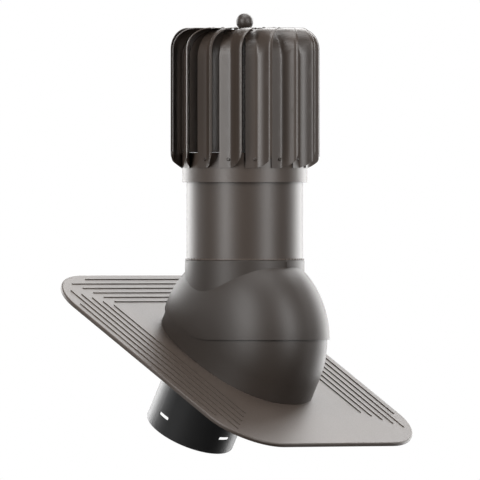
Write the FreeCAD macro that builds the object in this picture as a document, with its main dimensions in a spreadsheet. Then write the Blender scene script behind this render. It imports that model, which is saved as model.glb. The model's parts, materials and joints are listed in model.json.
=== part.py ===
import FreeCAD, Part
import math
import os
import Sketcher
from FreeCAD import Placement, Rotation, Vector

# Wind-driven roof ventilator for a pitched roof.
# Row frame: +Z up along the outlet pipe, +X along the eave, -Y downslope.
# Origin: the pipe's axis where it meets the underside of the roof plate.

doc = FreeCAD.newDocument("roof_ventilator")
sheet = doc.addObject("Spreadsheet::Sheet", "dims")

DIMS = {
    # roof plate, in its own frame tilted by roof_pitch
    "roof_pitch": 30, "plate_width": 440, "plate_length": 546, "plate_centre": 23.2,
    "plate_edge": 6, "plate_wall": 3, "plate_lip": 5, "plate_corner": 95, "plate_round": 2.6,
    "rib_pitch": 14.5, "rib_width": 2.2, "rib_height": 1.3,
    # duct spigot, square to the plate
    "spigot_radius": 75, "spigot_wall": 2, "spigot_neck_step": 1.1, "spigot_drop": 157, "spigot_rise": 8,
    "spigot_centre": 59, "spigot_flange": 85, "spigot_flange_thick": 2,
    "slot_width": 22, "slot_height": 5.6, "slot_level": 28.5,
    # hood and lower dome share the tilt axis
    "pivot_height": 48, "hood_half_width": 108.3, "hood_radius": 152.7, "hood_power": 2.32, "hood_wall": 2,
    "dome_step": 3.7, "dome_wall": 2.4, "dome_front_open": 55, "dome_back_open": 162, "cheek_height": 30,
    "rim_blend": 26, "rim_rise": 24.3, "collar_radius": 97.5, "collar_top": 177.8, "collar_round": 1.5,
    # twin-wall outlet pipe
    "pipe_radius": 95, "pipe_wall": 1.2, "pipe_bottom": 169, "pipe_top": 330,
    "duct_radius": 75, "duct_wall": 1.2, "duct_bottom": 100, "duct_top": 345,
    # turbine
    "vane_count": 15, "vane_phase": 18.2, "vane_thick": 1.0, "vane_bottom": 327.6, "vane_top": 552.5,
    "skirt_radius": 102, "skirt_wall": 1.2, "skirt_bottom": 304.5, "skirt_top": 352.2,
    "rivet_level": 341.6, "rivet_head": 2.9, "rivet_shank": 1.6, "top_rivet_circle": 57,
    "disc_radius": 60, "disc_thick": 1.5, "ball_radius": 14, "ball_level": 566,
    "spindle_radius": 6, "bearing_outer": 14, "bearing_width": 8, "low_bearing": 349, "high_bearing": 532,
}
for row, (alias, value) in enumerate(DIMS.items(), start=1):
    sheet.set("A%d" % row, alias)
    sheet.set("B%d" % row, str(value))
    sheet.setAlias("B%d" % row, alias)
doc.recompute()


def dim(alias):
    return float(sheet.get(alias))


PITCH = math.radians(dim("roof_pitch"))
TILT = Placement(Vector(0, 0, 0), Rotation(Vector(1, 0, 0), dim("roof_pitch")))
PIVOT = Vector(0, 0, dim("pivot_height"))
PIVOT_FRAME = Placement(PIVOT, Rotation())
PIVOT_TILTED = Placement(PIVOT, Rotation(Vector(1, 0, 0), dim("roof_pitch")))
FLAT = Placement()
nodes = []


# ---------------------------------------------------------------- helpers
def new_body(name, placement=FLAT):
    body = doc.addObject("PartDesign::Body", name)
    body.Label = name
    body.Placement = placement
    return body


def plane(body, role):
    return [f for f in body.Origin.OriginFeatures if f.Role == role][0]


def new_sketch(body, role, edges, offset=0.0):
    sketch = body.newObject("Sketcher::SketchObject", body.Name + "_sketch")
    sketch.AttachmentSupport = [(plane(body, role), "")]
    sketch.MapMode = "FlatFace"
    sketch.AttachmentOffset = Placement(Vector(0, 0, offset), Rotation())
    for edge in edges:
        sketch.addGeometry(edge, False)
    return sketch


def lines(points):
    vecs = [Vector(x, y, 0) for x, y in points]
    return [Part.LineSegment(vecs[i], vecs[(i + 1) % len(vecs)]) for i in range(len(vecs))]


def circle(x, y, radius):
    return Part.Circle(Vector(x, y, 0), Vector(0, 0, 1), radius)


def lathe(name, points, placement=FLAT, keep=True):
    """Closed (radius, height) outline turned about the local Z axis."""
    body = new_body(name, placement)
    sketch = new_sketch(body, "XZ_Plane", lines(points))
    turn = body.newObject("PartDesign::Revolution", name + "_turn")
    turn.Profile = sketch
    turn.ReferenceAxis = (sketch, ["V_Axis"])
    turn.Angle = 360
    body.Tip = turn
    if keep:
        nodes.append(body)
    return body


def pad(name, edges, height, base=0.0, placement=FLAT, role="XY_Plane", both=False, keep=False):
    """Outline on an origin plane, raised by height from base."""
    body = new_body(name, placement)
    sketch = new_sketch(body, role, edges, base)
    block = body.newObject("PartDesign::Pad", name + "_pad")
    block.Profile = sketch
    block.Length = height
    block.Midplane = both
    body.Tip = block
    if keep:
        nodes.append(body)
    return body


def cylinder(name, radius, height, placement):
    item = doc.addObject("Part::Cylinder", name)
    item.Radius = radius
    item.Height = height
    item.Placement = placement
    return item


def join(name, kind, base, tools, keep=True):
    """Chain of Part booleans: base minus or plus every tool."""
    step = base
    for i, tool in enumerate(tools):
        last = i == len(tools) - 1
        item = doc.addObject(kind, name if last else "%s_step%d" % (name, i))
        if kind == "Part::MultiFuse":
            item.Shapes = [step, tool]
        else:
            item.Base = step
            item.Tool = tool
        step = item
    step.Label = name
    if keep:
        nodes.append(step)
    return step


def feature(name, shape, keep=True):
    item = doc.addObject("Part::Feature", name)
    item.Shape = shape
    item.Placement = shape.Placement
    item.Label = name
    if keep:
        nodes.append(item)
    return item


def group(name, shapes):
    return feature(name, Part.makeCompound(shapes))


def solid_cylinder(radius, height, foot, axis):
    return Part.makeCylinder(radius, height, foot, axis)


def turned(points):
    wire = Part.makePolygon([Vector(r, 0, z) for r, z in points + points[:1]])
    return Part.Face(wire).revolve(Vector(0, 0, 0), Vector(0, 0, 1), 360)


def screw(head_radius, head_height, shank_radius, shank_length, foot, axis):
    """Domed-head screw: the head's seat is at foot, the shank runs against axis."""
    edge = head_height * 0.45
    outline = [(0, -shank_length), (shank_radius, -shank_length), (shank_radius, 0), (head_radius, 0),
               (head_radius, edge), (head_radius * 0.6, head_height), (0, head_height)]
    shape = turned(outline)
    shape.Placement = Placement(foot, Rotation(Vector(0, 0, 1), axis))
    return shape


def on_plate(x, y, z):
    return TILT.multVec(Vector(x, y, z))


PLATE_UP = TILT.Rotation.multVec(Vector(0, 0, 1))


# ------------------------------------------------- spheroid used by hood and dome
def dome_radius(x, half_width, radius):
    power = dim("hood_power")
    return radius * max(1 - (abs(x) / half_width) ** power, 0.0) ** (1 / power)


def spheroid(name, inset, placement=PIVOT_FRAME):
    """Solid of revolution about the tilt axis, inset from the hood's outer skin."""
    half_width = dim("hood_half_width") - inset
    radius = dim("hood_radius") - inset
    count = 24
    angles = [math.pi * i / count for i in range(count + 1)]
    points = []
    for a in angles:
        c, s = math.cos(a), math.sin(a)
        power = dim("hood_power")
        scale = (abs(c) ** power + abs(s) ** power) ** (-1 / power)
        points.append(Vector(half_width * c * scale, radius * s * scale, 0))
    curve = Part.BSplineCurve()
    curve.interpolate(points, InitialTangent=Vector(0, 1, 0), FinalTangent=Vector(0, -1, 0))
    body = new_body(name, placement)
    axis_line = Part.LineSegment(points[-1], points[0])
    sketch = new_sketch(body, "XZ_Plane", [curve, axis_line])
    turn = body.newObject("PartDesign::Revolution", name + "_turn")
    turn.Profile = sketch
    turn.ReferenceAxis = (sketch, ["H_Axis"])
    turn.Angle = 360
    body.Tip = turn
    return body


# ---------------------------------------------------------------- roof plate
W, L, YC = dim("plate_width"), dim("plate_length"), dim("plate_centre")
EDGE, R = dim("plate_edge"), dim("plate_corner")


def rounded_rect(x0, x1, y0, y1, r):
    q = math.pi / 2
    corners = [(x1 - r, y0 + r, 3 * q), (x1 - r, y1 - r, 0), (x0 + r, y1 - r, q), (x0 + r, y0 + r, 2 * q)]
    edges = []
    for cx, cy, a in corners:
        edges.append(Part.ArcOfCircle(circle(cx, cy, r), a, a + q))
    for i in range(4):
        a, b = edges[i], edges[(i + 1) % 4]
        edges.append(Part.LineSegment(a.EndPoint, b.StartPoint))
    return edges


def plate_outline(inset):
    return rounded_rect(-W / 2 + inset, W / 2 - inset, YC - L / 2 + inset, YC + L / 2 - inset, R - inset)


plate_body = new_body("plate_pan", TILT)
outer = new_sketch(plate_body, "XY_Plane", plate_outline(0))
slab = plate_body.newObject("PartDesign::Pad", "plate_slab")
slab.Profile = outer
slab.setExpression("Length", "dims.plate_edge")
plate_body.Tip = slab
doc.recompute()
top_edges = ["Edge%d" % (i + 1) for i, e in enumerate(slab.Shape.Edges)
             if all(abs(v.Point.z - EDGE) < 1e-6 for v in e.Vertexes)]
soft = plate_body.newObject("PartDesign::Fillet", "plate_soft_edge")
soft.Base = (slab, top_edges)
soft.setExpression("Radius", "dims.plate_round")
plate_body.Tip = soft

under = pad("plate_recess", plate_outline(dim("plate_lip")), EDGE - dim("plate_wall") + 1, -1, TILT)
seat = pad("plate_seat", rounded_rect(-112, 112, -140, 190, 90), EDGE - 1.0, 0, TILT)
recess = join("plate_recess_ring", "Part::Cut", under, [seat], keep=False)
SPIGOT_FOOT = on_plate(0, dim("spigot_centre"), 0)
hole = cylinder("plate_hole", dim("spigot_radius") + 0.4, 40,
                Placement(on_plate(0, dim("spigot_centre"), -20), TILT.Rotation))

# Ribs: six nested lines along the ridge edge and both side edges; each one ends
# short of the rounded corners, further in for the inner ones.
END_SETBACK = [94, 51, 63, 75, 87, 99]


def bar(x0, y0, x1, y1):
    """Half-round-ended rib lying on the plate's top."""
    half, z0, high = dim("rib_width") / 2, EDGE - 0.4, dim("rib_height") + 0.4
    a, b = Vector(x0, y0, z0), Vector(x1, y1, z0)
    d = (b - a).normalize()
    side = Vector(-d.y, d.x, 0) * half
    path = [Part.LineSegment(a + side, b + side).toShape(),
            Part.Arc(b + side, b + d * half, b - side).toShape(),
            Part.LineSegment(b - side, a - side).toShape(),
            Part.Arc(a - side, a - d * half, a + side).toShape()]
    return Part.Face(Part.Wire(path)).extrude(Vector(0, 0, high))


ribs = []
for k, setback in enumerate(END_SETBACK, start=1):
    inset = dim("rib_pitch") * k
    top, low = YC + L / 2, YC - L / 2
    ribs.append(bar(-W / 2 + setback, top - inset, W / 2 - setback, top - inset))
    for side in (-1, 1):
        x = side * (W / 2 - inset)
        ribs.append(bar(x, low + setback, x, top - setback))
rib_set = feature("plate_ribs", Part.makeCompound(ribs), keep=False)
rib_set.Placement = TILT

# Fixing screws that hold the dome's foot to the plate
P_LOCAL = TILT.inverse().multVec(PIVOT)
FOOT_SCREWS = []
for i in range(8):
    a = math.radians(22.5 + 45 * i)
    half_w = dim("hood_half_width") - 12.0
    half_l = dim("hood_radius") - 12.0
    c, s = math.cos(a), math.sin(a)
    p = dim("hood_power")
    scale = (abs(c) ** p + abs(s) ** p) ** (-1 / p)
    FOOT_SCREWS.append((half_w * c * scale, P_LOCAL.y + half_l * s * scale))
screw_holes = feature("foot_screw_holes", Part.makeCompound(
    [solid_cylinder(2.0, 30, on_plate(x, y, -8), PLATE_UP) for x, y in FOOT_SCREWS]), keep=False)
SPIGOT_SCREWS = [(80 * math.cos(math.radians(a)), dim("spigot_centre") + 80 * math.sin(math.radians(a)))
                 for a in range(30, 390, 60)]
flange_holes = feature("flange_screw_holes", Part.makeCompound(
    [solid_cylinder(1.8, 30, on_plate(x, y, -8), PLATE_UP) for x, y in SPIGOT_SCREWS]), keep=False)

plate_full = join("plate_full", "Part::MultiFuse", plate_body, [rib_set], keep=False)
join("roof_plate", "Part::Cut", plate_full, [recess, hole, screw_holes, flange_holes])

# Weather seal glued inside the plate's lip
seal_outer = pad("seal_outer", plate_outline(dim("plate_lip") + 0.2), 3.0, 0.0, TILT)
seal_inner = pad("seal_inner", plate_outline(dim("plate_lip") + 16), 5.0, -1.0, TILT)
join("perimeter_seal", "Part::Cut", seal_outer, [seal_inner])

# ---------------------------------------------------------------- duct spigot
RS, DROP = dim("spigot_radius"), dim("spigot_drop")
WALL = dim("spigot_wall")
SPIGOT_FRAME = Placement(SPIGOT_FOOT, TILT.Rotation)
bottom = EDGE - DROP
NECK = RS - dim("spigot_neck_step")
rise = EDGE + dim("spigot_rise")
tube = lathe("spigot_tube", [
    (RS, bottom), (RS, -6), (NECK, -6), (NECK, EDGE), (dim("spigot_flange"), EDGE),
    (dim("spigot_flange"), EDGE + dim("spigot_flange_thick")), (NECK, EDGE + dim("spigot_flange_thick")),
    (NECK, rise), (RS - WALL, rise), (RS - WALL, bottom)], SPIGOT_FRAME, keep=False)
slots = []
for i in range(4):
    width, high = dim("slot_width"), dim("slot_height")
    block = Part.makeBox(40, width, high, Vector(RS - 20, -width / 2, bottom + dim("slot_level") - high / 2))
    block = block.makeFillet(1.5, [e for e in block.Edges
                                   if abs(e.Vertexes[0].X - e.Vertexes[-1].X) > 30])
    block.rotate(Vector(0, 0, 0), Vector(0, 0, 1), 90 * i)
    slots.append(block)
slot_set = feature("spigot_slots", Part.makeCompound(slots), keep=False)
slot_set.Placement = SPIGOT_FRAME
join("duct_spigot", "Part::Cut", tube, [slot_set, flange_holes])
group("spigot_screws", [screw(3.0, 2.0, 1.7, 4.6, on_plate(x, y, EDGE + dim("spigot_flange_thick")), PLATE_UP)
                        for x, y in SPIGOT_SCREWS])

# ---------------------------------------------------------------- lower dome
STEP, DW = dim("dome_step"), dim("dome_wall")


def dome_solid(name, inset):
    """Spheroid above the tilt axis; below it straight walls run square to the plate."""
    ball = spheroid(name + "_ball", inset)
    half_width, radius, power = dim("hood_half_width") - inset, dim("hood_radius") - inset, dim("hood_power")
    points = []
    for i in range(48):
        a = 2 * math.pi * i / 48
        c, s = math.cos(a), math.sin(a)
        scale = (abs(c) ** power + abs(s) ** power) ** (-1 / power)
        points.append(Vector(half_width * c * scale, radius * s * scale, 0))
    ring = Part.BSplineCurve()
    ring.interpolate(points, PeriodicFlag=True)
    drop = P_LOCAL.z - EDGE + 8
    walls = pad(name + "_walls", [ring], drop, -drop, PIVOT_TILTED)
    upper = doc.addObject("Part::Box", name + "_upper")
    upper.Length, upper.Width, upper.Height = 500, 700, 300
    upper.Placement = PIVOT_TILTED.multiply(Placement(Vector(-250, -350, 0), Rotation()))
    cap = doc.addObject("Part::Common", name + "_cap")
    cap.Base, cap.Tool = ball, upper
    return join(name, "Part::MultiFuse", cap, [walls], keep=False)


dome_skin = dome_solid("dome_skin", STEP)
dome_void = dome_solid("dome_void", STEP + DW)
dome_foot_void = dome_solid("dome_foot_void", STEP + DW + 10)
dome_shell = join("dome_shell", "Part::Cut", dome_skin, [dome_void], keep=False)
far = 400.0
tf, tb = math.radians(dim("dome_front_open")), math.radians(dim("dome_back_open"))
level = dim("cheek_height")
wedge = [(-level / math.tan(tf), level), (-level / math.tan(tb), level),
         (-far * math.cos(tb), far * math.sin(tb)), (0, far * 1.2), (-far * math.cos(tf), far * math.sin(tf))]
# the YZ sketch plane has local x = +Y and local y = +Z
opening = pad("dome_opening", lines(wedge), 400, 0, PIVOT_TILTED, "YZ_Plane", both=True)
below = doc.addObject("Part::Box", "dome_below_plate")
below.Length, below.Width, below.Height = 500, 700, 300
below.Placement = TILT.multiply(Placement(Vector(-250, -350, EDGE - 300), Rotation()))
foot_slab = doc.addObject("Part::Box", "dome_foot_slab")
foot_slab.Length, foot_slab.Width, foot_slab.Height = 500, 700, 3
foot_slab.Placement = TILT.multiply(Placement(Vector(-250, -350, EDGE), Rotation()))
foot = doc.addObject("Part::Common", "dome_foot_disc")
foot.Base, foot.Tool = dome_solid("dome_foot_skin", STEP + DW - 0.5), foot_slab
foot_ring = join("dome_foot_ring", "Part::Cut", foot, [dome_foot_void], keep=False)
boss_pair = feature("dome_bosses", Part.makeCompound(
    [solid_cylinder(13, 17.2, PIVOT + Vector(side * 86, 0, 0), Vector(side, 0, 0)) for side in (-1, 1)]),
    keep=False)
bush_seats = feature("bush_seats", Part.makeCompound(
    [solid_cylinder(8.0, 12.0, PIVOT + Vector(side * 85, 0, 0), Vector(side, 0, 0)) for side in (-1, 1)]),
    keep=False)
dome_cut = join("dome_cut", "Part::Cut", dome_shell, [opening, below], keep=False)
dome_full = join("dome_full", "Part::MultiFuse", dome_cut, [foot_ring, boss_pair], keep=False)
join("lower_dome", "Part::Cut", dome_full, [bush_seats, screw_holes])
group("dome_foot_screws", [screw(3.6, 2.2, 1.9, 5.4, on_plate(x, y, EDGE + 3), PLATE_UP)
                           for x, y in FOOT_SCREWS])
for side, label in ((-1, "left"), (1, "right")):
    lathe("pivot_bush_" + label, [(5.05, 0), (8.0, 0), (8.0, 11.0), (5.05, 11.0)],
          Placement(PIVOT + Vector(side * 86, 0, 0), Rotation(Vector(0, 0, 1), Vector(side, 0, 0))))

# ---------------------------------------------------------------- hood with collar
hood_skin = spheroid("hood_skin", 0)
hood_void = spheroid("hood_void", dim("hood_wall"))
CR, CT, PR = dim("collar_radius"), dim("collar_top"), dim("pipe_radius")
collar_block = lathe("collar_block", [(0, 60), (CR, 60), (CR, CT - dim("collar_round")),
                                      (CR - dim("collar_round"), CT), (0, CT)], keep=False)
collar_bore = lathe("collar_bore", [(0, 90), (PR + 0.3, 90), (PR + 0.3, CT + 60), (0, CT + 60)], keep=False)
hood_solid = join("hood_solid", "Part::MultiFuse", hood_skin, [collar_block], keep=False)
# Rim: level at the front, rising behind the tilt axis
b = dim("rim_blend")
RIM_RISE = math.radians(dim("rim_rise"))
rim_edges = [
    Part.LineSegment(Vector(b * math.cos(RIM_RISE), b * math.sin(RIM_RISE), 0),
                     Vector(far, far * math.tan(RIM_RISE), 0)),
    Part.LineSegment(Vector(far, far * math.tan(RIM_RISE), 0), Vector(far, -far, 0)),
    Part.LineSegment(Vector(far, -far, 0), Vector(-far, -far, 0)),
    Part.LineSegment(Vector(-far, -far, 0), Vector(-far, 0, 0)),
    Part.LineSegment(Vector(-far, 0, 0), Vector(-b, 0, 0)),
]
blend_radius = b / math.tan(RIM_RISE / 2)
rise_mid = blend_radius * (1 - math.cos(RIM_RISE / 2))
mid = Vector(-b + blend_radius * math.sin(RIM_RISE / 2), rise_mid, 0)
rim_edges.append(Part.Arc(Vector(-b, 0, 0), mid, Vector(b * math.cos(RIM_RISE), b * math.sin(RIM_RISE), 0)))
rim_tool = pad("hood_rim_tool", rim_edges, 500, 0, PIVOT_FRAME, "YZ_Plane", both=True)
tick = doc.addObject("Part::Box", "collar_tick")
tick.Length, tick.Width, tick.Height = 3.7, 2.4, 9.0
tick.Placement = Placement(Vector(-1.85, -CR - 1.3, CT - 11.5), Rotation())
hood_shell = join("hood_shell", "Part::Cut", hood_solid, [hood_void, collar_bore, rim_tool], keep=False)
hood_plain = join("hood_plain", "Part::MultiFuse", hood_shell, [tick], keep=False)
COLLAR_SCREWS = [-10, 100]
collar_holes = feature("collar_screw_holes", Part.makeCompound(
    [solid_cylinder(1.7, 12, Vector((PR - 6) * math.cos(math.radians(a)), (PR - 6) * math.sin(math.radians(a)),
                                    CT - 4.0),
                    Vector(math.cos(math.radians(a)), math.sin(math.radians(a)), 0))
     for a in COLLAR_SCREWS]), keep=False)
join("hood", "Part::Cut", hood_plain, [collar_holes])

# ---------------------------------------------------------------- twin-wall pipe
PT, PB, PW = dim("pipe_top"), dim("pipe_bottom"), dim("pipe_wall")
DR, DB, DT, DWL = dim("duct_radius"), dim("duct_bottom"), dim("duct_top"), dim("duct_wall")
pipe_tube = lathe("pipe_tube", [(PR - PW, PB), (PR, PB), (PR, PT), (PR - PW, PT)], keep=False)
join("outer_pipe", "Part::Cut", pipe_tube, [collar_holes])
lathe("inner_duct", [(DR - DWL, DB), (DR, DB), (DR, DT), (DR - DWL, DT)])
lathe("insulation_sleeve", [(DR + 0.3, PB + 6), (PR - PW - 0.3, PB + 6), (PR - PW - 0.3, PT - 6),
                            (DR + 0.3, PT - 6)])
for label, z in (("lower", PB), ("upper", PT - 2.0)):
    flip = 1 if label == "lower" else -1
    lo = z if label == "lower" else z - 3.0
    lathe("closing_ring_" + label, [(DR + 0.05, lo), (PR - PW - 0.05, lo), (PR - PW - 0.05, lo + 5),
                                    (PR - PW - 2, lo + 5), (PR - PW - 2, lo + 2), (DR + 2, lo + 2),
                                    (DR + 2, lo + 5), (DR + 0.05, lo + 5)])
ring_plain = lathe("collar_ring_plain", [(PR + 0.05, CT), (CR - 0.6, CT), (CR - 0.6, CT + 2.4),
                                         (PR + 0.05, CT + 2.4)], keep=False)
notches = []
for i in range(72):
    notch = Part.makeBox(6, 4.2, 3, Vector(PR + 0.6, -2.1, CT + 0.4))
    notch.rotate(Vector(0, 0, 0), Vector(0, 0, 1), 5 * i + 2.5)
    notches.append(notch)
notch_set = feature("collar_notches", Part.makeCompound(notches), keep=False)
join("castellated_ring", "Part::Cut", ring_plain, [notch_set])
collar_screws = []
for a in COLLAR_SCREWS:
    out = Vector(math.cos(math.radians(a)), math.sin(math.radians(a)), 0)
    collar_screws.append(screw(3.0, 1.4, 1.6, 3.6, out * CR + Vector(0, 0, CT - 4.0), out))
group("collar_screws", collar_screws)

# ---------------------------------------------------------------- tilt yoke and pins
PZ = dim("pivot_height")
arm_foot, arm_in, arm_out = DB + 2, 79.0, 84.5
clamp = turned([(DR + 0.05, DB + 2), (DR + 4, DB + 2), (DR + 4, DB + 20), (DR + 0.05, DB + 20)])
arms = [clamp]
for side in (-1, 1):
    flat = [Vector(0, -13, DB + 16), Vector(0, -11, PZ), Vector(0, 0, PZ - 11), Vector(0, 11, PZ),
            Vector(0, 13, DB + 16)]
    edges = [Part.LineSegment(flat[0], flat[1]).toShape(), Part.Arc(flat[1], flat[2], flat[3]).toShape(),
             Part.LineSegment(flat[3], flat[4]).toShape(), Part.LineSegment(flat[4], flat[0]).toShape()]
    arm = Part.Face(Part.Wire(edges)).extrude(Vector(arm_out - arm_in, 0, 0))
    arm.translate(Vector(arm_in if side > 0 else -arm_out, 0, 0))
    web = Part.makeBox(arm_in - DR + 1, 26, 10, Vector(DR + 1 if side > 0 else -arm_in - 2, -13, DB + 6))
    web = web.cut(solid_cylinder(DR + 0.05, 60, Vector(0, 0, DB - 10), Vector(0, 0, 1)))
    arms += [arm, web]
yoke_shape = arms[0].fuse(arms[1:]).removeSplitter()
for side in (-1, 1):
    yoke_shape = yoke_shape.cut(solid_cylinder(5.0, 12, PIVOT + Vector(side * 76, 0, 0), Vector(side, 0, 0)))
YOKE_SCREWS = [45, 135, 225, 315]
yoke_holes = [solid_cylinder(1.7, 10, Vector((DR - 4) * math.cos(math.radians(a)),
                                             (DR - 4) * math.sin(math.radians(a)), DB + 11),
                             Vector(math.cos(math.radians(a)), math.sin(math.radians(a)), 0))
              for a in YOKE_SCREWS]
feature("tilt_yoke", yoke_shape.cut(Part.makeCompound(yoke_holes)))
duct = [n for n in nodes if n.Name == "inner_duct"][0]
nodes.remove(duct)
duct.Label = "duct_tube"
yoke_hole_set = feature("yoke_hole_set", Part.makeCompound(yoke_holes), keep=False)
for side, label in ((-1, "left"), (1, "right")):
    lathe("pivot_pin_" + label, [(0, -1.8), (8.0, -1.8), (8.0, 0), (5.0, 0), (5.0, 16.5), (4.2, 17.3), (0, 17.3)],
          Placement(PIVOT + Vector(side * arm_in, 0, 0), Rotation(Vector(0, 0, 1), Vector(side, 0, 0))))
group("yoke_rivets", [screw(2.8, 1.2, 1.6, 5.2, Vector((DR + 4) * math.cos(math.radians(a)),
                                                      (DR + 4) * math.sin(math.radians(a)), DB + 11),
                            Vector(math.cos(math.radians(a)), math.sin(math.radians(a)), 0))
                      for a in YOKE_SCREWS])

# Flexible sleeve between the spigot and the inner duct, a push fit inside both
START, END = Vector(0, 0, DB + 8), on_plate(0, dim("spigot_centre"), EDGE + 1)
SLEEVE_R = DR - DWL - 1.6
steps = 18
stations = []
for i in range(steps + 1):
    u = i / steps
    h1, h2 = (1 - u) ** 2 * (1 + 2 * u), u * u * (3 - 2 * u)
    g1, g2 = u * (1 - u) ** 2, u * u * (u - 1)
    down = Vector(0, 0, -1)
    into = PLATE_UP * -1
    place = START * h1 + END * h2 + down * (60 * g1) + into * (60 * g2)
    lean = math.radians(dim("roof_pitch")) * h2
    axis = Vector(0, math.sin(lean), -math.cos(lean))
    stations.append((place, axis, SLEEVE_R - (1.4 if i % 2 else 0.0) * (0 < i < steps)))


def tube_loft(shrink):
    wires = [Part.Wire(Part.Circle(c, a, r - shrink).toShape()) for c, a, r in stations]
    return Part.makeLoft(wires, True, False)


feature("flexible_sleeve", tube_loft(0).cut(tube_loft(1.2)))

# ---------------------------------------------------------------- spindle support
SR, BO, BW = dim("spindle_radius"), dim("bearing_outer"), dim("bearing_width")
LOW, HIGH = dim("low_bearing"), dim("high_bearing")
hub_low, hub_high = 296.0, 332.0
spider = turned([(SR + 0.0, hub_low), (13, hub_low), (13, hub_high), (SR + 0.0, hub_high)])
spider_parts = []
spider_holes = []
for i in range(3):
    a = 90 + 120 * i
    arm = Part.makeBox(DR - DWL - 12.2, 3, 22, Vector(12, -1.5, 303))
    tab = Part.makeBox(1.6, 20, 22, Vector(DR - DWL - 2.4, -10, 303))
    limit = solid_cylinder(DR - DWL - 0.02, 60, Vector(0, 0, 290), Vector(0, 0, 1))
    piece = arm.fuse(tab).common(limit)
    piece.rotate(Vector(0, 0, 0), Vector(0, 0, 1), a)
    spider_parts.append(piece)
    for off in (-6.5, 6.5):
        b_ang = a + math.degrees(off / DR)
        out = Vector(math.cos(math.radians(b_ang)), math.sin(math.radians(b_ang)), 0)
        spider_holes.append((out, 314.0))
hole_shapes = [solid_cylinder(1.7, 8, out * (DR - 7) + Vector(0, 0, z), out) for out, z in spider_holes]
feature("bearing_spider", spider.fuse(spider_parts).cut(Part.makeCompound(hole_shapes)))
spider_hole_set = feature("spider_hole_set", Part.makeCompound(hole_shapes), keep=False)
join("inner_duct", "Part::Cut", duct, [yoke_hole_set, spider_hole_set])
nodes[-1].Label = "inner_duct"
group("spider_screws", [screw(2.6, 1.2, 1.6, 3.4, out * (DR - DWL - 2.42) + Vector(0, 0, z), out * -1)
                        for out, z in spider_holes])
lathe("spindle", [(0, 290), (9, 290), (9, hub_low), (SR, hub_low), (SR, HIGH + BW / 2 + 6),
                  (SR - 1, HIGH + BW / 2 + 7), (0, HIGH + BW / 2 + 7)])
lathe("spindle_spacer", [(SR, LOW + BW / 2), (SR + 2, LOW + BW / 2), (SR + 2, HIGH - BW / 2), (SR, HIGH - BW / 2)])
lathe("spindle_lock_ring", [(SR, HIGH + BW / 2), (SR + 2.5, HIGH + BW / 2), (SR + 2.5, HIGH + BW / 2 + 2.5),
                            (SR, HIGH + BW / 2 + 2.5)])
lathe("spindle_collar", [(SR, hub_high), (SR + 3, hub_high), (SR + 2.4, LOW - BW / 2), (SR, LOW - BW / 2)])
groove = 1.55
ball_r, ball_track = 1.5, (SR + BO) / 2
for label, z in (("lower", LOW), ("upper", HIGH)):
    for which, r0, r1, lip in (("inner", SR, ball_track - 0.9, ball_track), ("outer", ball_track + 0.9, BO, ball_track)):
        race = turned([(r0, z - BW / 2), (r1, z - BW / 2), (r1, z + BW / 2), (r0, z + BW / 2)])
        ring = Part.makeTorus(ball_track, groove, Vector(0, 0, z), Vector(0, 0, 1))
        feature("%s_bearing_%s_race" % (label, which), race.cut(ring))
    balls = [Part.makeSphere(ball_r, Vector(ball_track * math.cos(2 * math.pi * i / 16),
                                            ball_track * math.sin(2 * math.pi * i / 16), z)) for i in range(16)]
    cage = turned([(ball_track - 0.55, z - 0.8), (ball_track + 0.55, z - 0.8), (ball_track + 0.55, z + 0.8),
                   (ball_track - 0.55, z + 0.8)])
    feature("%s_bearing_balls" % label, cage.fuse(balls))

# ---------------------------------------------------------------- turbine
COUNT, PHASE, VT = int(dim("vane_count")), dim("vane_phase"), dim("vane_thick")
KR, KW = dim("skirt_radius"), dim("skirt_wall")
VB, VTOP = dim("vane_bottom"), dim("vane_top")
RZ, HEAD, SHANK, TRC = dim("rivet_level"), dim("rivet_head"), dim("rivet_shank"), dim("top_rivet_circle")
PITCH_V = 360.0 / COUNT


def polar(r, degrees, z):
    return Vector(r * math.cos(math.radians(degrees)), r * math.sin(math.radians(degrees)), z)


skirt_tube = lathe("skirt_tube", [(KR - KW, dim("skirt_bottom")), (KR, dim("skirt_bottom")),
                                  (KR, dim("skirt_top")), (KR - KW, dim("skirt_top"))], keep=False)
low_holes = [solid_cylinder(SHANK, 10, polar(KR - 5, PHASE + PITCH_V * k, RZ), polar(1, PHASE + PITCH_V * k, 0))
             for k in range(COUNT)]
arm_angles = [PHASE + 12 + 120 * i for i in range(3)]
arm_holes = [solid_cylinder(SHANK, 10, polar(KR - 7, a, LOW), polar(1, a, 0)) for a in arm_angles]
low_hole_set = feature("skirt_rivet_holes", Part.makeCompound(low_holes + arm_holes), keep=False)
join("skirt_ring", "Part::Cut", skirt_tube, [low_hole_set])

# Vane: a thin folded strip, riveted to the skirt below and to the disc on top.
# Its inner strip follows one path and its outer bead another, so the fold opens
# outward down the side and lies nearly flat across the top.
STRIP_R, STRIP_BEND, BEND_START = KR + 0.75, 45.0, 500.0
BEAD_R, BEAD_BEND = 118.2, 34.0


def strip_path(s):
    """s 0..1 up the side, 1..2 round the shoulder, 2..3 inward over the top."""
    c = STRIP_R - STRIP_BEND
    if s <= 1:
        return c + STRIP_BEND, BEND_START + (VTOP - STRIP_BEND - BEND_START) * s, 0.0
    if s <= 2:
        a = math.radians(90 * (s - 1))
        return c + STRIP_BEND * math.cos(a), VTOP - STRIP_BEND * (1 - math.sin(a)), a
    return c - 8.0 * (s - 2), VTOP, math.pi / 2


def bead_path(s):
    c = BEAD_R - BEAD_BEND
    top = VTOP + 2.6
    if s <= 1:
        return BEAD_R, BEND_START + (top - BEAD_BEND - BEND_START) * s, 0.0
    if s <= 2:
        a = math.radians(90 * (s - 1))
        return c + BEAD_BEND * math.cos(a), top - BEAD_BEND * (1 - math.sin(a)), a
    return c + (STRIP_R - STRIP_BEND - 8 - c) * (s - 2), top, math.pi / 2


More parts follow.
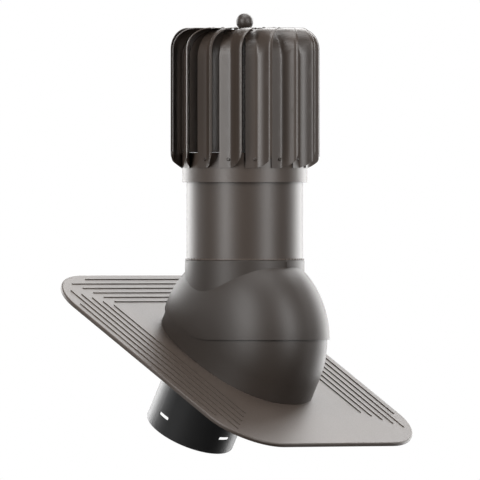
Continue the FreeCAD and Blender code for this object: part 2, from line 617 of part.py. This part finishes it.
def blend(a, b_val, t):
    return a + (b_val - a) * t


# Across the vane: offset along the tangent, and share of the way out from strip to bead
SIDE_ACROSS = [(-15.5, 0), (-8, 0), (0, 0), (3.5, 0.02), (7, 0.12), (11, 0.29), (15.5, 0.55), (19, 0.8),
               (21.8, 0.96), (24.4, 1)]
TOP_ACROSS = [(-10.5, 0), (-6, 0), (0, 0), (3, 0.06), (6, 0.3), (9.5, 0.75), (13.5, 1), (18, 1), (22.5, 1), (27, 1)]
BEAD_SIZE = 1.15
SWEEP = 14.0


def sweep(s):
    """How far the bead swings sideways: it grows round the shoulder and dies out over the top."""
    if s <= 1:
        return 0.0
    if s <= 2:
        return SWEEP * (1 - math.cos(math.radians(90 * (s - 1))))
    return SWEEP * max(0.0, 1 - (s - 2) / 0.5)


def vane_points(s, azimuth):
    """Points across the vane at station s, from the strip's free edge to the bead."""
    rs, zs, a_s = strip_path(s)
    rb, zb, a_b = bead_path(s)
    t = min(max((s - 1.0) / 1.6, 0), 1)
    out = Vector(math.cos(azimuth), math.sin(azimuth), 0)
    side = Vector(-math.sin(azimuth), math.cos(azimuth), 0)
    points = []
    for (tau0, k0), (tau1, k1) in zip(SIDE_ACROSS, TOP_ACROSS):
        tau, k = blend(tau0, tau1, t), blend(k0, k1, t)
        tau += sweep(s) * k
        points.append(out * blend(rs, rb, k) + side * tau + Vector(0, 0, blend(zs, zb, k)))
    return points


def spline(points):
    curve = Part.BSplineCurve()
    curve.interpolate(points)
    return curve.toShape()


def vane_section(s, azimuth):
    points = vane_points(s, azimuth)
    ahead, back = vane_points(min(s + 0.02, 3), azimuth), vane_points(max(s - 0.02, 0), azimuth)
    out = Vector(math.cos(azimuth), math.sin(azimuth), 0)
    skin, lining = [], []
    last = len(points) - 1
    for i, point in enumerate(points):
        normal = (points[min(i + 1, last)] - points[max(i - 1, 0)]).cross(ahead[i] - back[i])
        if s == STATIONS[-1]:
            normal = normal - out * normal.dot(out)
        if s == STATIONS[0]:
            normal = Vector(normal.x, normal.y, 0)
        normal = normal.normalize()
        skin.append(point + normal * (VT / 2))
        lining.append(point - normal * (VT / 2))
    # hem: a small rounded bulb beyond the last point
    reach = (points[-1] - points[-2]).normalize()
    heart = points[-1] + reach * BEAD_SIZE
    hem = [skin[-1]]
    for step in range(4):
        a = math.radians(115 - 230 * step / 3)
        hem.append(heart + reach * (BEAD_SIZE * math.cos(a)) + normal * (BEAD_SIZE * math.sin(a)))
    hem.append(lining[-1])
    edges = [spline(skin)]
    edges += [Part.makeLine(hem[i], hem[i + 1]) for i in range(len(hem) - 1)]
    edges += [spline(lining[::-1]), Part.makeLine(lining[0], skin[0])]
    return Part.Wire(edges)


STATIONS = [0.0] + [1.0 + i / 14 for i in range(15)] + [2.12, 2.3, 2.5, 3.0]
base_azimuth = math.radians(PHASE)
shoulder = Part.makeLoft([vane_section(s, base_azimuth) for s in STATIONS], True, True)
upright = Part.Face(vane_section(0.0, base_azimuth)).extrude(Vector(0, 0, VB - BEND_START))
vane = upright.fuse(shoulder)
vane_holes = [low_holes[0]]
for azimuth in (PHASE, PHASE + PITCH_V):
    vane_holes.append(solid_cylinder(SHANK, 30, polar(TRC, azimuth, VTOP - 15), Vector(0, 0, 1)))
# The lower outer corner is rounded off, from the strip's foot up to the bead
corner = [Vector(KR - 20, 2, VB - 5), Vector(KR - 20, 2, VB), Vector(KR - 20, 19, VB + 9), Vector(KR - 20, 26, VB + 27),
          Vector(KR - 20, 32, VB + 27), Vector(KR - 20, 32, VB - 5)]
corner_edges = [Part.makeLine(corner[0], corner[1]), Part.Arc(corner[1], corner[2], corner[3]).toShape(),
                Part.makeLine(corner[3], corner[4]), Part.makeLine(corner[4], corner[5]),
                Part.makeLine(corner[5], corner[0])]
corner_tool = Part.Face(Part.Wire(corner_edges)).extrude(Vector(60, 0, 0))
corner_tool.rotate(Vector(0, 0, 0), Vector(0, 0, 1), PHASE)
vane = vane.cut(Part.makeCompound(vane_holes)).cut(corner_tool)
for k in range(COUNT):
    copy = vane.copy()
    copy.rotate(Vector(0, 0, 0), Vector(0, 0, 1), PITCH_V * k)
    feature("vane_%02d" % (k + 1), copy)


def rivet(foot, axis, length):
    return screw(HEAD, 1.5, SHANK - 0.02, length, foot, axis)


group("lower_rivets", [rivet(polar(STRIP_R + VT / 2 + 0.3, PHASE + PITCH_V * k, RZ), polar(1, PHASE + PITCH_V * k, 0), 4)
                       for k in range(COUNT)])
group("upper_rivets", [rivet(polar(TRC, PHASE + PITCH_V * k, VTOP + 2.6 + VT / 2 + 0.05), Vector(0, 0, 1), 7)
                       for k in range(COUNT)])

# Top disc under the vane ends, with the hub housing hung from it
DISC_Z = VTOP - VT / 2 - 0.35
disc_plain = lathe("disc_plain", [(6.2, DISC_Z - dim("disc_thick")), (dim("disc_radius"), DISC_Z - dim("disc_thick")),
                                  (dim("disc_radius"), DISC_Z), (30, DISC_Z), (26, DISC_Z + 1.2), (6.2, DISC_Z + 1.2)],
                   keep=False)
disc_hole_shapes = [solid_cylinder(SHANK, 20, polar(TRC, PHASE + PITCH_V * k, DISC_Z - 10), Vector(0, 0, 1))
                    for k in range(COUNT)]
HUB_BOLTS = [30, 150, 270]
disc_hole_shapes += [solid_cylinder(2.1, 20, polar(19.5, a, DISC_Z - 10), Vector(0, 0, 1)) for a in HUB_BOLTS]
disc_hole_set = feature("disc_hole_set", Part.makeCompound(disc_hole_shapes), keep=False)
join("top_disc", "Part::Cut", disc_plain, [disc_hole_set])
hub_top = DISC_Z - dim("disc_thick")
hub = turned([(BO + 3, HIGH - BW / 2 - 3), (BO + 3, hub_top - 3), (25, hub_top - 3), (25, hub_top), (8, hub_top),
              (8, hub_top - 2), (BO - 1, hub_top - 4), (BO - 1, HIGH + BW / 2), (BO, HIGH + BW / 2),
              (BO, HIGH - BW / 2 - 3)])
hub = hub.cut(Part.makeCompound([solid_cylinder(2.1, 20, polar(19.5, a, hub_top - 12), Vector(0, 0, 1))
                                 for a in HUB_BOLTS]))
feature("upper_hub", hub)
group("hub_bolts", [screw(3.8, 2.4, 2.0, 8.0, polar(19.5, a, DISC_Z + 1.2), Vector(0, 0, 1)) for a in HUB_BOLTS])

low_hub = turned([(BO, LOW - BW / 2), (BO + 4, LOW - BW / 2), (BO + 4, LOW + BW / 2 + 3), (BO - 1.5, LOW + BW / 2 + 3),
                  (BO - 1.5, LOW + BW / 2), (BO, LOW + BW / 2)])
rotor_arms = []
for a in arm_angles:
    arm = Part.makeBox(KR - KW - BO - 4.5, 3, 8, Vector(BO + 3, -1.5, LOW - 4 + 0.5))
    tab = Part.makeBox(2.0, 16, 8, Vector(KR - KW - 2.6, -8, LOW - 4 + 0.5))
    piece = arm.fuse(tab).common(solid_cylinder(KR - KW - 0.02, 60, Vector(0, 0, LOW - 30), Vector(0, 0, 1)))
    piece.rotate(Vector(0, 0, 0), Vector(0, 0, 1), a)
    rotor_arms.append(piece)
feature("rotor_spider", low_hub.fuse(rotor_arms).cut(Part.makeCompound(arm_holes)))
group("rotor_spider_rivets", [rivet(polar(KR + 0.02, a, LOW), polar(1, a, 0), 4) for a in arm_angles])

BR, BZ = dim("ball_radius"), dim("ball_level")
ball = Part.makeSphere(BR, Vector(0, 0, BZ))
flat = Part.makeBox(60, 60, 20, Vector(-30, -30, DISC_Z + 2.6 - 20))
socket = solid_cylinder(4.0, 14, Vector(0, 0, DISC_Z - 2), Vector(0, 0, 1))
feature("finial_ball", ball.cut(flat).cut(socket))
lathe("finial_stud", [(0, hub_top - 1.5), (7.5, hub_top - 1.5), (7.5, hub_top), (3.95, hub_top), (3.95, DISC_Z + 11),
                      (3.2, DISC_Z + 11.8), (0, DISC_Z + 11.8)])
lathe("finial_washer", [(4.0, DISC_Z + 1.2), (11, DISC_Z + 1.2), (11, DISC_Z + 2.6), (4.0, DISC_Z + 2.6)])

# ---------------------------------------------------------------- export
doc.recompute()
for item in doc.Objects:
    if "Invalid" in item.State or "Error" in item.State:
        raise RuntimeError("%s: %s" % (item.Name, item.State))
os.makedirs("parts", exist_ok=True)
for item in nodes:
    if item.Shape.isNull() or not item.Shape.isValid() or not item.Shape.Solids:
        raise RuntimeError("bad shape in " + item.Label)
    item.Shape.exportStep("parts/%s.step" % item.Label)
print("nodes", len(nodes))
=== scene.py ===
import json
import math

import bpy
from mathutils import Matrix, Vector

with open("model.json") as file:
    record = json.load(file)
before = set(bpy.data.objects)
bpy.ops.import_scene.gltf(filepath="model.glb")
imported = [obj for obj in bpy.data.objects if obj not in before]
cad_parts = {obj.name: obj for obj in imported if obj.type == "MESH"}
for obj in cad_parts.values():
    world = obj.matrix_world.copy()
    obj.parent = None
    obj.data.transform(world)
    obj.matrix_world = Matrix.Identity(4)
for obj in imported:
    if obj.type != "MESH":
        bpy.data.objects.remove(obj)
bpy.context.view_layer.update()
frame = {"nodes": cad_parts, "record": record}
scene = bpy.context.scene

# ---------------------------------------------------------------- camera and render
# A level view at 45 degrees to the eave, from so far away that it is nearly parallel
AZIMUTH = math.radians(-45)
TOWARD_CAMERA = Vector((math.sin(AZIMUTH), -math.cos(AZIMUTH), 0))
IMAGE_RIGHT = Vector((math.cos(AZIMUTH), math.sin(AZIMUTH), 0))
FRAME_WIDTH = 0.7824
AIM_SIDE = -0.0077
AIM_HEIGHT = 0.2104
LENS = 1000.0
SENSOR = 24.0
CLIP_END = 200
RESOLUTION = 480


def add_camera():
    data = bpy.data.cameras.new("camera")
    data.lens = LENS
    data.sensor_width = SENSOR
    data.clip_end = CLIP_END
    distance = FRAME_WIDTH * LENS / SENSOR
    cam = bpy.data.objects.new("camera", data)
    aim = IMAGE_RIGHT * AIM_SIDE + Vector((0, 0, AIM_HEIGHT))
    cam.location = aim + TOWARD_CAMERA * distance
    cam.rotation_euler = (-TOWARD_CAMERA).to_track_quat("-Z", "Y").to_euler()
    scene.collection.objects.link(cam)
    scene.camera = cam


add_camera()
scene.render.resolution_x = RESOLUTION
scene.render.resolution_y = RESOLUTION
scene.view_settings.view_transform = "Standard"
scene.view_settings.look = "None"

# ---------------------------------------------------------------- lighting
LAMP_AIM = Vector((0, 0, 0.28))

world = bpy.data.worlds.new("world")
scene.world = world
world.use_nodes = True
background = world.node_tree.nodes["Background"]
background.inputs["Color"].default_value = (1, 1, 1, 1)
background.inputs["Strength"].default_value = 1.0


def direction(around, up):
    """Unit vector around degrees to image right of the camera's side, up degrees above level."""
    a, e = math.radians(around), math.radians(up)
    level = TOWARD_CAMERA * math.cos(a) + IMAGE_RIGHT * math.sin(a)
    return level * math.cos(e) + Vector((0, 0, math.sin(e)))


def softbox(name, around, up, distance, width, height, power):
    """Rectangular lamp aimed at the middle of the object. Angles in degrees, power in watts."""
    data = bpy.data.lights.new(name, "AREA")
    data.shape = "RECTANGLE"
    data.size = width
    data.size_y = height
    data.energy = power
    lamp = bpy.data.objects.new(name, data)
    toward = direction(around, up)
    lamp.location = LAMP_AIM + toward * distance
    lamp.rotation_euler = (-toward).to_track_quat("-Z", "Y").to_euler()
    lamp.visible_camera = False
    scene.collection.objects.link(lamp)


softbox("key_left", -38, 16, 2.2, 0.6, 2.1, 52)
softbox("key_right", 44, 16, 2.2, 0.62, 2.1, 47)
softbox("rim_left", -138, 2, 3.0, 2.0, 2.9, 98)
softbox("rim_right", 134, -2, 3.0, 2.2, 3.1, 122)
softbox("left_fill", -90, 4, 3.0, 0.3, 2.2, 5)
softbox("roof_sheen", 162, 38, 3.2, 2.6, 2.0, 102)
softbox("top", 0, 86, 2.4, 1.8, 1.8, 56)

# ---------------------------------------------------------------- studio cards
# Dark cards round the camera's side, above and below, so that the white world doesn't wash the front out
FLOOR_LEVEL = -1.5
CEILING_LEVEL = 3.3
CARD_REACH = 6
WALL_DISTANCE = 3.6
WALL_EDGES = [-102, -75, -50, -20, 20, 50, 75, 102]


def card_material(name, value, rough):
    mat = bpy.data.materials.new(name)
    mat.use_nodes = True
    nodes, links = mat.node_tree.nodes, mat.node_tree.links
    bsdf = nodes["Principled BSDF"]
    noise = nodes.new("ShaderNodeTexNoise")
    noise.inputs["Scale"].default_value = 3.0
    ramp = nodes.new("ShaderNodeValToRGB")
    ramp.color_ramp.elements[0].color = (value * 0.9,) * 3 + (1,)
    ramp.color_ramp.elements[1].color = (value * 1.1,) * 3 + (1,)
    links.new(noise.outputs["Fac"], ramp.inputs["Fac"])
    links.new(ramp.outputs["Color"], bsdf.inputs["Base Color"])
    bsdf.inputs["Roughness"].default_value = rough
    return mat


BLACK_CARD = card_material("black_card", 0.02, 0.9)


def card(name, corners):
    """Flat studio card, unseen by the camera."""
    mesh = bpy.data.meshes.new(name)
    mesh.from_pydata([tuple(c) for c in corners], [], [list(range(len(corners)))])
    obj = bpy.data.objects.new(name, mesh)
    mesh.materials.append(BLACK_CARD)
    obj.visible_camera = False
    scene.collection.objects.link(obj)


def level_card(name, level):
    r = CARD_REACH
    card(name, [(-r, -r, level), (r, -r, level), (r, r, level), (-r, r, level)])


def wall_card(name, around0, around1):
    corners = [direction(around, 0) * WALL_DISTANCE for around in (around0, around1)]
    low = [c + Vector((0, 0, FLOOR_LEVEL)) for c in corners]
    high = [c + Vector((0, 0, CEILING_LEVEL)) for c in corners[::-1]]
    card(name, low + high)


level_card("floor", FLOOR_LEVEL)
level_card("ceiling", CEILING_LEVEL)
for i, (around0, around1) in enumerate(zip(WALL_EDGES, WALL_EDGES[1:])):
    wall_card("flag_%d" % i, around0, around1)

# ---------------------------------------------------------------- materials


class Look:
    """Small helper that wires one node material."""

    def __init__(self, name):
        self.mat = bpy.data.materials.new(name)
        self.mat.use_nodes = True
        self.nodes = self.mat.node_tree.nodes
        self.links = self.mat.node_tree.links
        self.bsdf = self.nodes["Principled BSDF"]
        self.coord = self.nodes.new("ShaderNodeTexCoord")

    def noise(self, scale, detail=3.0, stretch=(1, 1, 1)):
        mapping = self.nodes.new("ShaderNodeMapping")
        mapping.inputs["Scale"].default_value = stretch
        self.links.new(self.coord.outputs["Object"], mapping.inputs["Vector"])
        tex = self.nodes.new("ShaderNodeTexNoise")
        tex.inputs["Scale"].default_value = scale
        tex.inputs["Detail"].default_value = detail
        self.links.new(mapping.outputs["Vector"], tex.inputs["Vector"])
        return tex.outputs["Fac"]

    def cells(self, scale):
        tex = self.nodes.new("ShaderNodeTexVoronoi")
        tex.inputs["Scale"].default_value = scale
        self.links.new(self.coord.outputs["Object"], tex.inputs["Vector"])
        return tex.outputs["Distance"]

    def colour(self, fac, low, high, start=0.35, end=0.65):
        """Base colour that runs from low to high as fac runs from start to end."""
        node = self.nodes.new("ShaderNodeValToRGB")
        node.color_ramp.elements[0].position = start
        node.color_ramp.elements[1].position = end
        node.color_ramp.elements[0].color = tuple(low) + (1,)
        node.color_ramp.elements[1].color = tuple(high) + (1,)
        self.links.new(fac, node.inputs["Fac"])
        self.links.new(node.outputs["Color"], self.bsdf.inputs["Base Color"])

    def rough(self, fac, low, high, start=0.3, end=0.7):
        """Roughness that runs from low to high as fac runs from start to end."""
        node = self.nodes.new("ShaderNodeMapRange")
        node.inputs["From Min"].default_value = start
        node.inputs["From Max"].default_value = end
        node.inputs["To Min"].default_value = low
        node.inputs["To Max"].default_value = high
        self.links.new(fac, node.inputs["Value"])
        self.links.new(node.outputs["Result"], self.bsdf.inputs["Roughness"])

    def bump(self, fac, strength, distance):
        node = self.nodes.new("ShaderNodeBump")
        node.inputs["Strength"].default_value = strength
        node.inputs["Distance"].default_value = distance
        self.links.new(fac, node.inputs["Height"])
        self.links.new(node.outputs["Normal"], self.bsdf.inputs["Normal"])


def shade(colour, factor):
    return tuple(c * factor for c in colour)


def polymer(name, colour, rough=0.42, grain=900.0, relief=0.00012, strength=0.35):
    """Moulded plastic or paint: a fine grain in the gloss and relief, and a broad drift in the colour."""
    look = Look(name)
    fine, broad = look.noise(grain, 2.0), look.noise(6.0, 4.0)
    look.colour(broad, shade(colour, 0.93), shade(colour, 1.07))
    look.rough(fine, rough - 0.05, rough + 0.06)
    look.bump(fine, strength, relief)
    return look.mat


def metal(name, colour, rough=0.35, stretch=(1, 1, 1), scale=500.0):
    """Bare or plated metal with a fine finish; stretch draws the finish out along an axis."""
    look = Look(name)
    brushed, broad = look.noise(scale, 3.0, stretch), look.noise(14.0, 3.0)
    look.colour(broad, shade(colour, 0.9), shade(colour, 1.06))
    look.rough(brushed, rough - 0.08, rough + 0.1)
    look.bump(brushed, 0.15, 0.00008)
    look.bsdf.inputs["Metallic"].default_value = 1.0
    return look.mat


def foam(name, colour):
    """Open-cell foam: dark, dull cells."""
    look = Look(name)
    cell = look.cells(420.0)
    look.colour(cell, shade(colour, 0.6), shade(colour, 1.15), 0.1, 0.6)
    look.bump(cell, 0.6, 0.0006)
    look.bsdf.inputs["Roughness"].default_value = 0.95
    return look.mat


BROWN = (0.037, 0.027, 0.021)
LOOKS = {
    # the plate's brown lightened 1.25 times: painted light for the top light and sheen on the plate
    "plate_polymer": polymer("plate_polymer", shade(BROWN, 1.25), 0.5),
    # the hood's brown darkened to 0.64: painted shade on the hood
    "hood_polymer": polymer("hood_polymer", shade(BROWN, 0.64), 0.5, strength=0.45),
    "pipe_polymer": polymer("pipe_polymer", BROWN, 0.42),
    # the ring lightened 1.7 times so it stands out from the pipe: painted light
    "ring_polymer": polymer("ring_polymer", shade(BROWN, 1.7), 0.45),
    "black_polymer": polymer("black_polymer", (0.019, 0.019, 0.0195), 0.45),
    "bush_polymer": polymer("bush_polymer", (0.55, 0.53, 0.47), 0.45),
    # the finial ball darkened to 0.6: painted shade
    "finial_polymer": polymer("finial_polymer", shade(BROWN, 0.6), 0.46),
    "seal_foam": foam("seal_foam", (0.02, 0.02, 0.02)),
    "insulation_foam": foam("insulation_foam", (0.3, 0.3, 0.31)),
    "sleeve_rubber": polymer("sleeve_rubber", (0.02, 0.02, 0.021), 0.6, 300.0, 0.0004),
    "zinc_steel": metal("zinc_steel", (0.6, 0.61, 0.62), 0.35),
    "galvanised_sheet": metal("galvanised_sheet", (0.55, 0.56, 0.57), 0.42, scale=90.0),
    "spindle_steel": metal("spindle_steel", (0.5, 0.5, 0.51), 0.28, (1, 1, 12)),
    "bearing_steel": metal("bearing_steel", (0.7, 0.7, 0.71), 0.15),
    "painted_screws": polymer("painted_screws", shade(BROWN, 0.8), 0.4),
    # the skirt lightened 1.15 times: painted light
    "skirt_paint": polymer("skirt_paint", shade(BROWN, 1.15), 0.42, 1400.0, 0.00008),
    "vane_paint": polymer("vane_paint", BROWN, 0.4, 1400.0, 0.00008),
    "rivet_paint": polymer("rivet_paint", shade(BROWN, 0.7), 0.35, 1400.0, 0.00006),
    "cast_alloy": metal("cast_alloy", (0.58, 0.58, 0.59), 0.5, scale=220.0),
}

slots = {entry["node"]: entry["material_slot"] for entry in frame["record"]["subparts"]}
for node, obj in frame["nodes"].items():
    obj.data.materials.clear()
    obj.data.materials.append(LOOKS[slots[node]])
